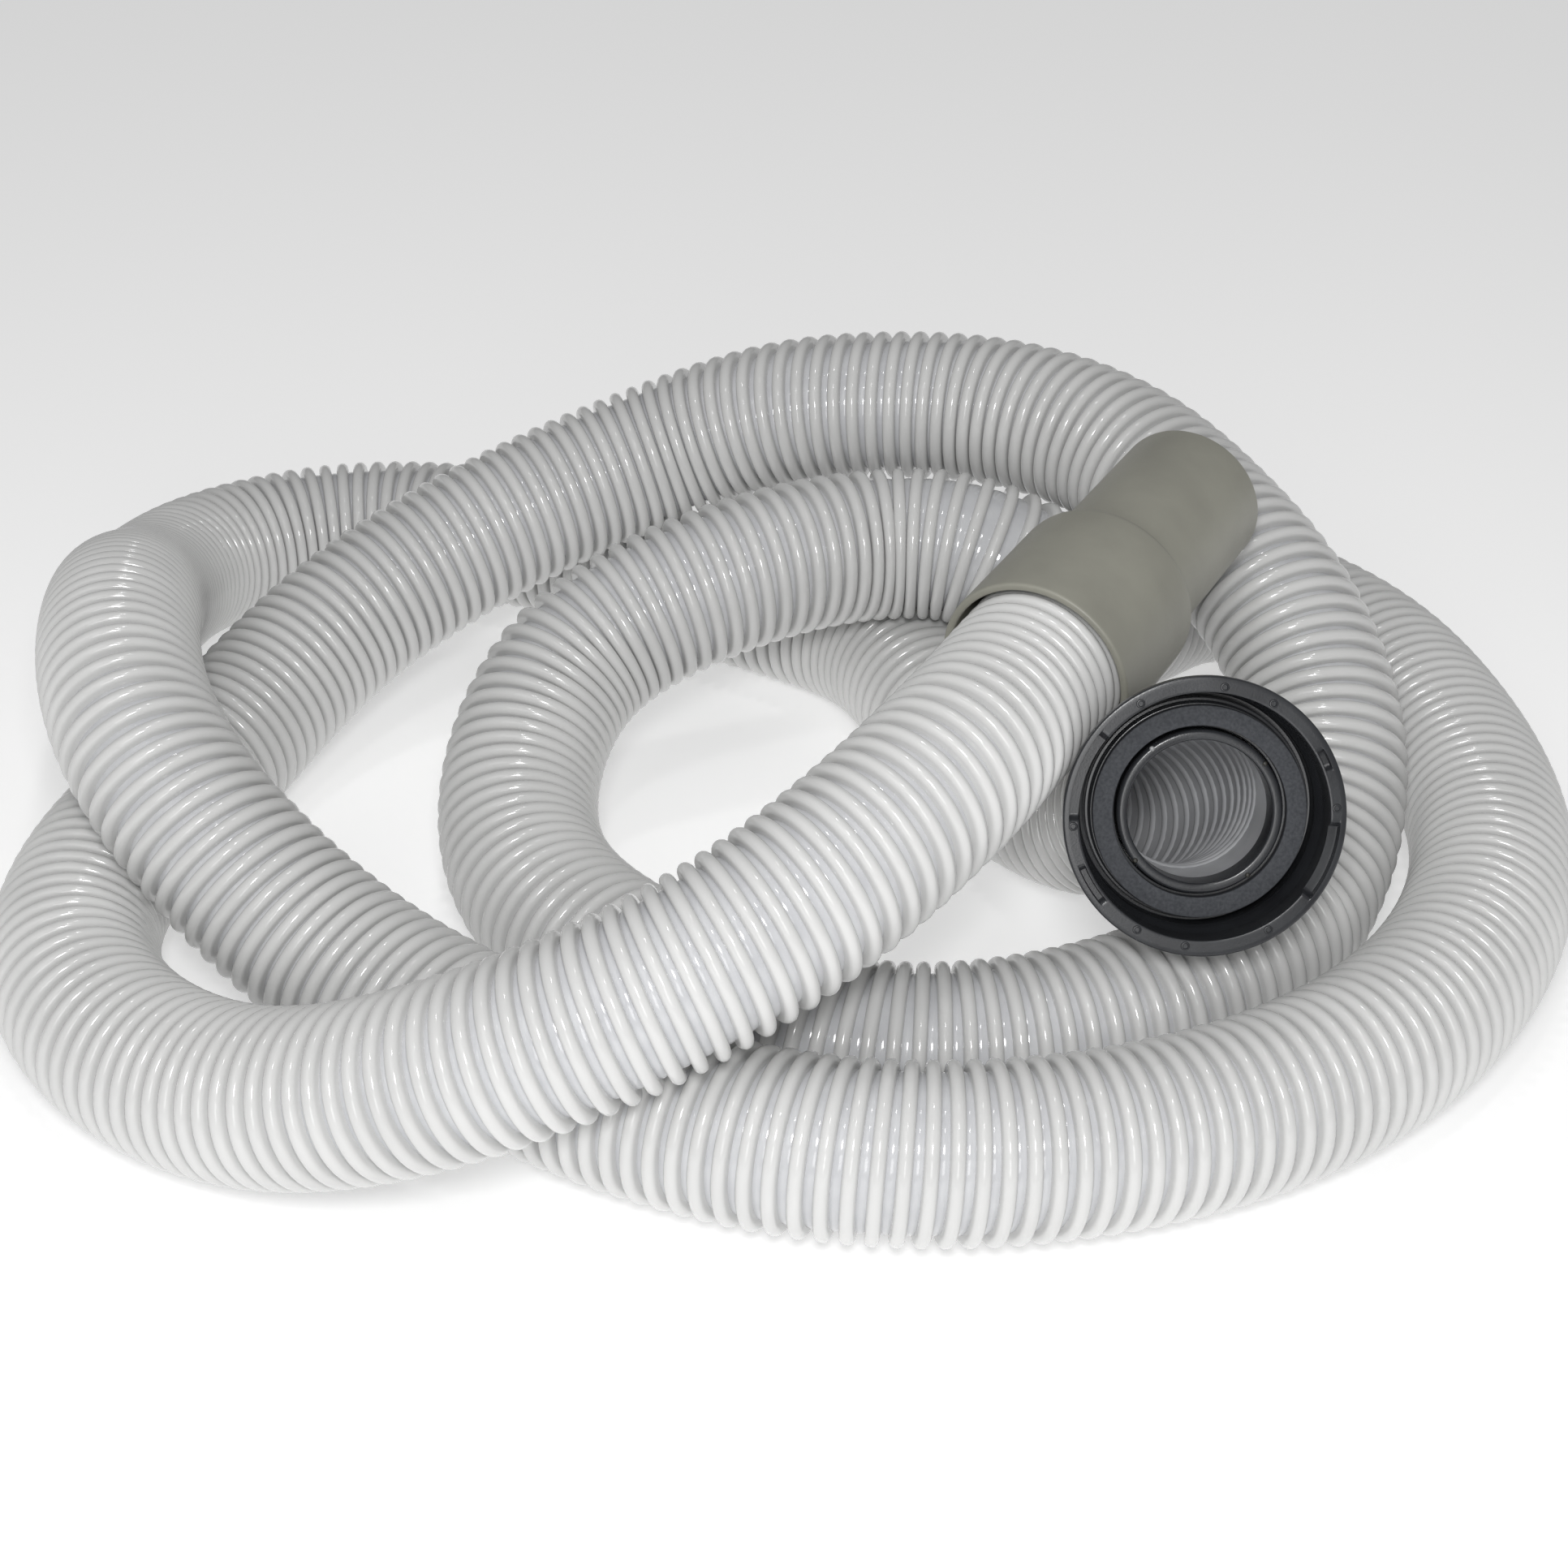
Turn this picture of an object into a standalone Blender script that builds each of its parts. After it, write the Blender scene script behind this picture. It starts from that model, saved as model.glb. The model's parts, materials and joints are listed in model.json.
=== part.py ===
"""Ribbed vacuum hose lying in loose loops, with a swivel cuff on one end and a bayonet coupling on the other.

Metres, +Z up, the hose lies on z = 0. The hose is a run of hollow stretches that follow one smooth curve,
and each end fitting is turned about the axis that the hose has there."""

import math

import bmesh
import bpy
import numpy as np
from mathutils import Matrix, Vector

MM = 0.001

# Hose: the outside is the crest of its ribs, the inside is its bore.
HOSE_CREST_R = 23.5 * MM
HOSE_BORE_R = 19.6 * MM
HOSE_SIDES = 12
HOSE_END_SIDES = 24
RING_SPACING = 36 * MM
END_RING_SPACING = 16 * MM
NODE_GAP = 0.3 * MM
SIDES = 40

# Cuff end: the mouth's centre and the tip's centre.
CUFF_MOUTH = Vector((66, -115.5, 106.5)) * MM
CUFF_TIP = Vector((117, -24.5, 113)) * MM
CUFF_AXIS = (CUFF_TIP - CUFF_MOUTH).normalized()
CUFF_LENGTH = (CUFF_TIP - CUFF_MOUTH).length
CUFF_WIDE_LENGTH = 46 * MM
HOSE_IN_CUFF = 30 * MM

# Coupling end: the centre of the rim's face, and the way that the face looks.
COUPLING_TILT = math.radians(24)
COUPLING_FACE = Vector((106.5, -164, 92.5)) * MM
COUPLING_AXIS = Vector((0, -math.cos(COUPLING_TILT), math.sin(COUPLING_TILT)))
RIM_R = 36.0 * MM
SKIRT_BORE_R = 31.8 * MM
SKIRT_LENGTH = 24 * MM
HOSE_TO_FACE = 21.5 * MM
# Recesses in the rim's face: inner radius and depth in millimetres, first and last angle in degrees.
FACE_RECESSES = [
    ("bayonet_pocket_left", 30.5, 2.5, 140, 182),
    ("bayonet_pocket_right", 30.5, 2.5, -38, -2),
    ("bayonet_slot_right", 32.9, 1.5, 21, 31),
    ("bayonet_slot_left", 32.9, 1.5, 202, 221),
]
COLLAR_END = 33 * MM

# The hose's own way between its two ends, on the floor and over itself, in millimetres.
ROUTE_MM = [
    (43, -158, 105), (-8, -206, 86), (-80, -219, 55), (-145, -193, 28), (-190, -146, 24), (-196, -90, 24),
    (-177, -32, 25), (-142, 26, 41), (-88, 66, 61), (-34, 87, 77), (0, 85, 89), (30, 80, 94.5),
    (57, 75, 96), (82, 64, 96), (108, 43, 93), (130, 12, 85), (146, -15, 74), (158, -58, 47),
    (143, -104, 25), (89, -158, 24), (25, -170, 24), (-35, -139, 24), (-75, -82, 27), (-77, -48, 37),
    (-63, -17, 53), (-30, 2, 67), (2, 16, 72), (34, 26, 72), (57, 24, 71), (77, 23, 62), (97, 35, 42),
    (119, 64, 27), (143, 83, 24), (173, 64, 24), (202, 1, 24), (205, -80, 24), (168, -157, 24),
    (95, -208, 27), (15, -218, 29), (-65, -182, 27), (-126, -141, 38), (-177, -94, 71), (-198, -18, 70),
    (-207, 56, 38), (-200, 97, 27), (-170, 124, 24), (-122, 130, 24), (-62, 109, 24), (-12, 79, 24),
    (31, 46, 24), (46, 14, 24), (62, -24, 24), (90, -73, 35), (104, -104, 61),
]

# The stretches of the hose, and where each starts as a share of the hose's length.
STRETCHES = [
    ("hose_cuff_end", 0.0),
    ("hose_top_run", 0.035),
    ("hose_left_loop", 0.105),
    ("hose_upper_arc", 0.19),
    ("hose_arc_descent", 0.29),
    ("hose_inner_run", 0.355),
    ("hose_middle_loop", 0.435),
    ("hose_middle_top", 0.485),
    ("hose_right_loop", 0.56),
    ("hose_front_run", 0.645),
    ("hose_left_rise", 0.735),
    ("hose_rear_bend", 0.82),
    ("hose_rear_run", 0.89),
    ("hose_coupling_end", 0.96),
]
END_STRETCHES = ("hose_cuff_end", "hose_coupling_end")


def clear_scene():
    for obj in list(bpy.data.objects):
        bpy.data.objects.remove(obj, do_unlink=True)


def plastic(name, colour, roughness):
    """A Principled material with one colour."""
    material = bpy.data.materials.new(name)
    material.use_nodes = True
    shader = material.node_tree.nodes["Principled BSDF"]
    shader.inputs["Base Color"].default_value = (*colour, 1)
    shader.inputs["Roughness"].default_value = roughness
    material.diffuse_color = (*colour, 1)
    return material


def route_points():
    """The route's points from the cuff end to the coupling end: straight in both fittings."""
    in_cuff = [CUFF_MOUTH + CUFF_AXIS * reach * MM for reach in (30, 12, -6)]
    in_coupling = [COUPLING_FACE - COUPLING_AXIS * reach * MM for reach in (40, 30, 21.5)]
    free = [Vector(point) * MM for point in ROUTE_MM]
    return np.array([tuple(point) for point in in_cuff + free + in_coupling])


def smooth_curve(points, count=6000):
    """A natural cubic spline through the points, as count points a fixed length apart, none below the floor's."""
    knots = np.concatenate([[0], np.cumsum(np.linalg.norm(np.diff(points, axis=0), axis=1))])
    step = np.diff(knots)
    last = len(points) - 1
    system = np.eye(last + 1)
    target = np.zeros_like(points)
    for i in range(1, last):
        system[i, i - 1:i + 2] = step[i - 1], 2 * (step[i - 1] + step[i]), step[i]
        target[i] = 6 * ((points[i + 1] - points[i]) / step[i] - (points[i] - points[i - 1]) / step[i - 1])
    bend = np.linalg.solve(system, target)
    at = np.linspace(0, knots[-1], count)
    i = np.clip(np.searchsorted(knots, at, side="right") - 1, 0, last - 1)
    a, b = (knots[i + 1] - at)[:, None], (at - knots[i])[:, None]
    h = step[i][:, None]
    curve = (
        bend[i] * a**3 / (6 * h)
        + bend[i + 1] * b**3 / (6 * h)
        + (points[i] / h - bend[i] * h / 6) * a
        + (points[i + 1] / h - bend[i + 1] * h / 6) * b
    )
    curve[:, 2] = np.maximum(curve[:, 2], HOSE_CREST_R)
    along = np.concatenate([[0], np.cumsum(np.linalg.norm(np.diff(curve, axis=0), axis=1))])
    even = np.linspace(0, along[-1], count)
    return np.stack([np.interp(even, along, curve[:, k]) for k in range(3)], axis=1), along[-1]


def add_object(name, mesh, material, location=(0, 0, 0), axis=None):
    """Links the mesh as an object whose +Z lies along axis."""
    mesh.materials.append(material)
    mesh.shade_smooth()
    mesh.set_sharp_from_angle(angle=math.radians(30))
    obj = bpy.data.objects.new(name, mesh)
    turn = Vector(axis).to_track_quat("Z", "Y").to_matrix().to_4x4() if axis else Matrix()
    obj.matrix_world = Matrix.Translation(location) @ turn
    bpy.context.scene.collection.objects.link(obj)
    return obj


def hose_stretch(name, centres, tangents, sides, material):
    """A hollow tube through the centres, with its cross-section carried along without twist."""
    bm = bmesh.new()
    side = np.cross(tangents[0], (0, 0, 1))
    rings = {HOSE_CREST_R: [], HOSE_BORE_R: []}
    for centre, tangent in zip(centres, tangents):
        side = side - tangent * side.dot(tangent)
        side /= np.linalg.norm(side)
        up = np.cross(side, tangent)
        for radius, found in rings.items():
            turns = (2 * math.pi * k / sides for k in range(sides))
            found.append(
                [bm.verts.new(centre + radius * (math.cos(t) * side + math.sin(t) * up)) for t in turns]
            )
    for found in rings.values():
        for first, second in zip(found, found[1:]):
            for k in range(sides):
                bm.faces.new((first[k], first[k - 1], second[k - 1], second[k]))
    outer, inner = rings.values()
    for end in (0, -1):
        for k in range(sides):
            bm.faces.new((outer[end][k], outer[end][k - 1], inner[end][k - 1], inner[end][k]))
    bmesh.ops.recalc_face_normals(bm, faces=bm.faces)
    mesh = bpy.data.meshes.new(name)
    bm.to_mesh(mesh)
    bm.free()
    return add_object(name, mesh, material)


def build_hose(material):
    """Cuts the smooth curve into stretches that meet face to face with a small gap."""
    curve, length = smooth_curve(route_points())
    stations = np.linspace(0, length, len(curve))
    headings = np.gradient(curve, stations, axis=0)
    starts = [share * length for _, share in STRETCHES] + [length + NODE_GAP]
    for (name, _), start, end in zip(STRETCHES, starts, starts[1:]):
        is_end = name in END_STRETCHES
        count = max(4, math.ceil((end - start) / (END_RING_SPACING if is_end else RING_SPACING)) + 1)
        at = np.linspace(start, end - NODE_GAP, count)
        centres, tangents = (
            np.stack([np.interp(at, stations, table[:, k]) for k in range(3)], axis=1)
            for table in (curve, headings)
        )
        hose_stretch(name, centres, tangents, HOSE_END_SIDES if is_end else HOSE_SIDES, material)


def turned(name, outline, face, axis, material, sides=SIDES):
    """A ring turned about the axis. The outline is a closed loop of (radius, depth) in millimetres,
    and depth runs from the face against the axis."""
    bm = bmesh.new()
    loop = [bm.verts.new((radius * MM, 0, -depth * MM)) for radius, depth in outline]
    edges = [bm.edges.new((loop[i - 1], loop[i])) for i in range(len(loop))]
    bmesh.ops.spin(
        bm, geom=loop + edges, cent=(0, 0, 0), axis=(0, 0, 1), dvec=(0, 0, 0),
        angle=2 * math.pi, steps=sides, use_merge=True,
    )
    bmesh.ops.remove_doubles(bm, verts=bm.verts, dist=1e-6)
    bmesh.ops.recalc_face_normals(bm, faces=bm.faces)
    mesh = bpy.data.meshes.new(name)
    bm.to_mesh(mesh)
    bm.free()
    return add_object(name, mesh, material, face, axis)


def arc_cutter(name, inner, outer, low, high, start_deg, end_deg, owner):
    """A block between two radii, two depths and two angles about the owner's axis, in millimetres."""
    steps = 6
    bm = bmesh.new()
    corners = []
    for k in range(steps + 1):
        turn = math.radians(start_deg + (end_deg - start_deg) * k / steps)
        corners.append([
            bm.verts.new((radius * MM * math.cos(turn), radius * MM * math.sin(turn), -depth * MM))
            for radius, depth in ((inner, low), (outer, low), (outer, high), (inner, high))
        ])
    for first, second in zip(corners, corners[1:]):
        for k in range(4):
            bm.faces.new((first[k - 1], first[k], second[k], second[k - 1]))
    bm.faces.new(corners[0])
    bm.faces.new(corners[-1])
    bmesh.ops.recalc_face_normals(bm, faces=bm.faces)
    mesh = bpy.data.meshes.new(name)
    bm.to_mesh(mesh)
    bm.free()
    cutter = bpy.data.objects.new(name, mesh)
    cutter.matrix_world = owner.matrix_world
    cutter.hide_render = True
    cutter.display_type = "WIRE"
    bpy.context.scene.collection.objects.link(cutter)
    cut = owner.modifiers.new(name, "BOOLEAN")
    cut.object = cutter
    cut.operation = "DIFFERENCE"


def build_cuff(material, inner_material):
    """The sleeve spins on a ferrule that is pushed into the hose's end, and a ring holds it there.
    Depths run from the tip back to the mouth."""
    length = CUFF_LENGTH / MM
    step = length - CUFF_WIDE_LENGTH / MM
    hose_end = length - HOSE_IN_CUFF / MM
    sleeve = [
        (21.1, 0), (21.7, 0.6), (22.1, step - 4), (22.5, step - 2.4), (26, step + 1.6), (26.5, step + 3.2),
        (26.9, length - 1.2), (26.3, length), (25.3, length), (24.7, length - 1.2),
        (24.3, step + 2), (20.0, step - 1.8), (19.5, 0),
    ]
    ferrule = [
        (17.2, step + 3), (23.4, step + 3), (23.4, step + 5), (18.9, step + 5),
        (18.9, hose_end + 16), (17.2, hose_end + 16),
    ]
    ring = [(20.4, step + 5.8), (24.0, step + 5.8), (24.0, hose_end - 0.6), (20.4, hose_end - 0.6)]
    turned("cuff_sleeve", sleeve, CUFF_TIP, CUFF_AXIS, material)
    turned("cuff_ferrule", ferrule, CUFF_TIP, CUFF_AXIS, inner_material)
    turned("cuff_retaining_ring", ring, CUFF_TIP, CUFF_AXIS, inner_material)


def build_coupling(material, washer_material):
    """The shell spins on the insert's neck. Depths run from the rim's face towards the hose."""
    rim, bore, depth = RIM_R / MM, SKIRT_BORE_R / MM, SKIRT_LENGTH / MM
    hose_end, collar_end = HOSE_TO_FACE / MM, COLLAR_END / MM
    shell = [
        (bore, 0.5), (bore + 0.5, 0), (rim - 0.6, 0), (rim, 0.6), (rim, 3), (rim - 1.4, 8), (rim - 2.8, 13),
        (31, 20), (28, depth), (26.85, depth), (26.85, 20.4), (30.2, 20.4), (30.2, 15), (bore, 11),
    ]
    insert = [
        (21.6, 12.6), (27.9, 12.6), (27.9, 16.6), (28.9, 16.6), (28.9, 20), (26.5, 20),
        (26.5, depth + 1.6), (24.0, depth + 1.6), (24.0, hose_end - 0.4), (21.6, hose_end - 0.4),
    ]
    washer = [(22.3, 9.4), (27.5, 9.4), (27.5, 12.3), (22.3, 12.3)]
    lip = [
        (18.3, 9.6), (18.9, 9.0), (20.6, 9.0), (21.2, 9.6), (21.2, hose_end - 0.4),
        (19.2, hose_end - 0.4), (19.2, collar_end + 5), (18.3, collar_end + 5),
    ]
    snap_ring = [(26.8, depth + 0.3), (27.8, depth + 0.3), (27.8, depth + 1.6), (26.8, depth + 1.6)]
    collar = [
        (24.0, depth + 1.9), (26.2, depth + 1.9), (26.2, depth + 4), (25.4, depth + 5.4),
        (25.2, collar_end - 0.6), (24.8, collar_end), (24.0, collar_end),
    ]
    owner = turned("coupling_shell", shell, COUPLING_FACE, COUPLING_AXIS, material)
    for name, inner, depth_cut, start, end in FACE_RECESSES:
        arc_cutter(name, inner, rim - 1.6, -1, depth_cut, start, end, owner)
    turned("coupling_insert", insert, COUPLING_FACE, COUPLING_AXIS, material)
    turned("coupling_washer", washer, COUPLING_FACE, COUPLING_AXIS, washer_material)
    turned("coupling_lip_ring", lip, COUPLING_FACE, COUPLING_AXIS, material)
    turned("coupling_snap_ring", snap_ring, COUPLING_FACE, COUPLING_AXIS, material)
    turned("coupling_collar", collar, COUPLING_FACE, COUPLING_AXIS, material)


def stand_on_origin():
    """Moves everything so that the origin is the middle of the box's bottom."""
    bpy.context.view_layer.update()
    corners = [
        obj.matrix_world @ vertex.co
        for obj in bpy.data.objects
        if not obj.hide_render
        for vertex in obj.data.vertices
    ]
    corners = np.array([tuple(corner) for corner in corners])
    low, high = corners.min(axis=0), corners.max(axis=0)
    middle = (low + high) / 2
    for obj in bpy.data.objects:
        obj.location -= Vector((middle[0], middle[1], low[2]))


def main():
    clear_scene()
    hose = plastic("hose_pvc", (0.69, 0.69, 0.66), 0.25)
    cuff = plastic("cuff_plastic", (0.33, 0.32, 0.27), 0.45)
    inner = plastic("cuff_inner_plastic", (0.05, 0.05, 0.05), 0.5)
    black = plastic("coupling_plastic", (0.025, 0.026, 0.028), 0.35)
    washer = plastic("washer_rubber", (0.05, 0.052, 0.056), 0.8)
    build_hose(hose)
    build_cuff(cuff, inner)
    build_coupling(black, washer)
    stand_on_origin()


main()
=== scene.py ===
"""Looks of a ribbed vacuum hose in loose loops, with a swivel cuff and a bayonet coupling on its ends.

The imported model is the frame. Every shape here is a surface worked out with numpy on a grid."""

import math

import bpy
import numpy as np
from bpy.props import FloatProperty, FloatVectorProperty, PointerProperty
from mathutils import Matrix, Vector
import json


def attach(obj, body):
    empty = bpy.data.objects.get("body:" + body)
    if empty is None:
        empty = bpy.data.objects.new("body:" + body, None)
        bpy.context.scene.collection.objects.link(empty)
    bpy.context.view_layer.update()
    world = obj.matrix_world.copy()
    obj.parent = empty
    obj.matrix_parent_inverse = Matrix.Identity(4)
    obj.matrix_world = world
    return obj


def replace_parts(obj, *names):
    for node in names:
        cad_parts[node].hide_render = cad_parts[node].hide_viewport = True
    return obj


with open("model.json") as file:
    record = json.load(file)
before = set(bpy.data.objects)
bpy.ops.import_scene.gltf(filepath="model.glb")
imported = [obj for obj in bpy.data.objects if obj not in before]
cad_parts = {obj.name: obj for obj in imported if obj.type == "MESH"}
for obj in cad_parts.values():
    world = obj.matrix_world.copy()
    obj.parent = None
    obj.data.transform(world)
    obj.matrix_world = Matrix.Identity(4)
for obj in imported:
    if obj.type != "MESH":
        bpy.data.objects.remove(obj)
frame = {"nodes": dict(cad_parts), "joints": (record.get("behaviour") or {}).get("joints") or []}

bl_info = {
    "name": "Pool hose builder",
    "version": (1, 0, 0),
    "blender": (4, 5, 0),
    "location": "View3D > Sidebar > Pool Hose",
    "description": "Builds a ribbed pool vacuum hose with a swivel cuff and a bayonet coupling",
    "category": "Add Mesh",
}

MM = 0.001
JOINTS = {joint["name"]: joint for joint in frame["joints"]}

# The fittings' places. The route below is written from its own origin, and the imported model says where
# that lies.
ROUTE_CUFF_TIP = np.array((117, -24.5, 113)) * MM
ROUTE_CUFF_MOUTH = np.array((66, -115.5, 106.5)) * MM
ROUTE_COUPLING_FACE = np.array((106.5, -164, 92.5)) * MM

# The hose enters both fittings straight: how far inside the cuff's mouth, and behind the coupling's face, the
# points of its way lie, in millimetres. The first and the last one are the hose's two ends.
HOSE_IN_CUFF_MM = 30
IN_CUFF_MM = (HOSE_IN_CUFF_MM, 12, -6)
BEHIND_FACE_MM = (40, 30, 21.5)
CUFF_WIDE_LENGTH_MM = 46

# The recesses of the coupling's face: where each starts and ends, in degrees round the axis, how deep they
# go, and how softly they end. Pockets open to the bore, slots don't.
POCKET_ARCS, POCKET_DEPTH_MM, POCKET_SOFT_DEG = ((140, 182), (-38, -2)), 2.5, 2.5
SLOT_ARCS, SLOT_DEPTH_MM, SLOT_SOFT_DEG = ((21, 31), (202, 221)), 1.5, 2
RECESS_INNER_MM, RECESS_OUTER_MM = (32.5, 32.8), (34.1, 34.4)

# In a bend, the least room that a turn of the rib is given, the share of its spacing that it may fill, and
# the least share of the gap that the strip between two ribs fills.
LEAST_ROOM, RIB_SHARE, LEAST_GAP_SHARE = 0.3, 0.94, 0.2
BEND_SMOOTHING = 41  # table steps that the centreline's curvature is averaged over


# ---------------------------------------------------------------- properties


class HoseSizes(bpy.types.PropertyGroup):
    """Sizes of the hose's wall and of the rib wound on it."""

    crest_radius: FloatProperty(
        name="Crest radius", description="From the hose's middle to the top of its rib",
        default=23.5 * MM, unit="LENGTH",
    )
    web_radius: FloatProperty(
        name="Web radius",
        description="From the hose's middle to the highest line of the strip between two ribs",
        default=20.3 * MM, unit="LENGTH",
    )
    wall_radius: FloatProperty(
        name="Wall radius",
        description="From the hose's middle to the outside of the thin wall under the ribs",
        default=19.95 * MM, unit="LENGTH",
    )
    bore_radius: FloatProperty(
        name="Bore radius", description="From the hose's middle to the inside of its wall",
        default=19.7 * MM, unit="LENGTH",
    )
    rib_spacing: FloatProperty(
        name="Rib spacing", description="From one turn of the rib to the next",
        default=5.6 * MM, unit="LENGTH",
    )
    rib_width: FloatProperty(
        name="Rib width", description="Width of the rib at its foot, along the hose",
        default=3.9 * MM, unit="LENGTH",
    )


class FittingSizes(bpy.types.PropertyGroup):
    """Sizes of the coupling and of the cuff."""

    rim_radius: FloatProperty(
        name="Rim radius", description="Outside of the coupling's rim", default=36 * MM, unit="LENGTH",
    )
    skirt_bore: FloatProperty(
        name="Skirt bore", description="Inside of the coupling's rim", default=31.8 * MM, unit="LENGTH",
    )


class StageLook(bpy.types.PropertyGroup):
    """Light and floor."""

    key_power: FloatProperty(
        name="Key power", description="Power of the large soft light; the low one is set from it",
        default=2.0, unit="POWER",
    )
    flash_power: FloatProperty(
        name="Flash power",
        description="Power of the small light above the camera; the two lamps overhead are set from it",
        default=3.0, unit="POWER",
    )
    floor_colour: FloatVectorProperty(
        name="Floor colour", description="Colour of the plain floor", default=(0.9, 0.9, 0.9),
        size=3, subtype="COLOR", min=0, max=1,
    )
    floor_glow: FloatProperty(
        name="Floor glow", description="Light that the floor gives off itself, like a lit table",
        default=0.35, min=0,
    )


# ---------------------------------------------------------------- numbers


def unit(vectors):
    """Each row divided by its length."""
    return vectors / np.linalg.norm(vectors, axis=-1, keepdims=True)


def smooth_curve(points, lowest, count=6000):
    """A natural cubic spline through the points, resampled at even steps of arc length, and its length. Each
    span is the cubic whose second derivative runs straight from one knot's bend to the next, and the bends
    solve one tridiagonal system. None of the curve lies below lowest."""
    knots = np.concatenate([[0], np.cumsum(np.linalg.norm(np.diff(points, axis=0), axis=1))])
    step = np.diff(knots)
    last = len(points) - 1
    row = np.arange(1, last)
    system = np.eye(last + 1)
    system[row, row - 1], system[row, row + 1] = step[:-1], step[1:]
    system[row, row] = 2 * (step[:-1] + step[1:])
    slope = np.diff(points, axis=0) / step[:, None]
    target = np.zeros_like(points)
    target[1:-1] = 6 * np.diff(slope, axis=0)
    bend = np.linalg.solve(system, target)
    at = np.linspace(0, knots[-1], count)
    i = np.clip(np.searchsorted(knots, at, side="right") - 1, 0, last - 1)
    a, b = (knots[i + 1] - at)[:, None], (at - knots[i])[:, None]
    h = step[i][:, None]
    curve = (
        bend[i] * a**3 / (6 * h)
        + bend[i + 1] * b**3 / (6 * h)
        + (points[i] / h - bend[i] * h / 6) * a
        + (points[i + 1] / h - bend[i + 1] * h / 6) * b
    )
    curve[:, 2] = np.maximum(curve[:, 2], lowest)
    along = np.concatenate([[0], np.cumsum(np.linalg.norm(np.diff(curve, axis=0), axis=1))])
    even = np.linspace(0, along[-1], count)
    return np.stack([np.interp(even, along, curve[:, k]) for k in range(3)], axis=1), along[-1]


# The hose's way between its two ends, in millimetres from the route's own origin.
ROUTE_MM = [
    (43, -158, 105), (-8, -206, 86), (-80, -219, 55), (-145, -193, 28), (-190, -146, 24), (-196, -90, 24),
    (-177, -32, 25), (-142, 26, 41), (-88, 66, 61), (-34, 87, 77), (0, 85, 89), (30, 80, 94.5),
    (57, 75, 96), (82, 64, 96), (108, 43, 93), (130, 12, 85), (146, -15, 74), (158, -58, 47),
    (143, -104, 25), (89, -158, 24), (25, -170, 24), (-35, -139, 24), (-75, -82, 27), (-77, -48, 37),
    (-63, -17, 53), (-30, 2, 67), (2, 16, 72), (34, 26, 72), (57, 24, 71), (77, 23, 62), (97, 35, 42),
    (119, 64, 27), (143, 83, 24), (173, 64, 24), (202, 1, 24), (205, -80, 24), (168, -157, 24),
    (95, -208, 27), (15, -218, 29), (-65, -182, 27), (-126, -141, 38), (-177, -94, 71), (-198, -18, 70),
    (-207, 56, 38), (-200, 97, 27), (-170, 124, 24), (-122, 130, 24), (-62, 109, 24), (-12, 79, 24),
    (31, 46, 24), (46, 14, 24), (62, -24, 24), (90, -73, 35), (104, -104, 61),
]


class Path:
    """The hose's centreline as a table of even steps, with the directions that a section is drawn in."""

    def __init__(self, lowest):
        self.shift = np.array(JOINTS["coupling_spin"]["pos_m"]) - ROUTE_COUPLING_FACE
        cuff_axis = unit(ROUTE_CUFF_TIP - ROUTE_CUFF_MOUTH)
        coupling_axis = np.array(JOINTS["coupling_spin"]["axis"])
        in_cuff = ROUTE_CUFF_MOUTH + cuff_axis * np.array(IN_CUFF_MM)[:, None] * MM
        in_coupling = ROUTE_COUPLING_FACE - coupling_axis * np.array(BEHIND_FACE_MM)[:, None] * MM
        points = np.concatenate([in_cuff, np.array(ROUTE_MM) * MM, in_coupling])
        self.points, self.length = smooth_curve(points, lowest)
        self.points = self.points + self.shift
        self.at = np.linspace(0, self.length, len(self.points))
        self.ahead = unit(np.gradient(self.points, self.at, axis=0))

    def frames(self, s):
        """Centre, heading, level side and upward side at each arc length. The side is the heading crossed
        with the world's up, so a cross-section never rolls."""
        centre, ahead = (
            np.stack([np.interp(s, self.at, table[:, k]) for k in range(3)], axis=1)
            for table in (self.points, self.ahead)
        )
        ahead = unit(ahead)
        side = unit(np.cross(ahead, (0, 0, 1)))
        return centre, ahead, side, np.cross(side, ahead)

    def bend(self, s):
        """The centreline's curvature vector at each arc length: how fast the heading turns, and to which
        side."""
        turn = np.gradient(self.ahead, self.at, axis=0)
        window = np.ones(BEND_SMOOTHING) / BEND_SMOOTHING
        return np.stack(
            [np.interp(s, self.at, np.convolve(turn[:, k], window, mode="same")) for k in range(3)], axis=1
        )


# ---------------------------------------------------------------- meshes


def grid_quads(rows, columns, close_rows, close_columns):
    """Corner indices of the quads of a rows x columns grid of points, and the grid place of each corner
    before any wrap, which the UV map needs."""
    i = np.arange(rows if close_rows else rows - 1)
    j = np.arange(columns if close_columns else columns - 1)
    i, j = (part.ravel() for part in np.meshgrid(i, j, indexing="ij"))
    place_i = np.stack([i, i + 1, i + 1, i], axis=1)
    place_j = np.stack([j, j, j + 1, j + 1], axis=1)
    return place_i % rows * columns + place_j % columns, place_i, place_j


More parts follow.
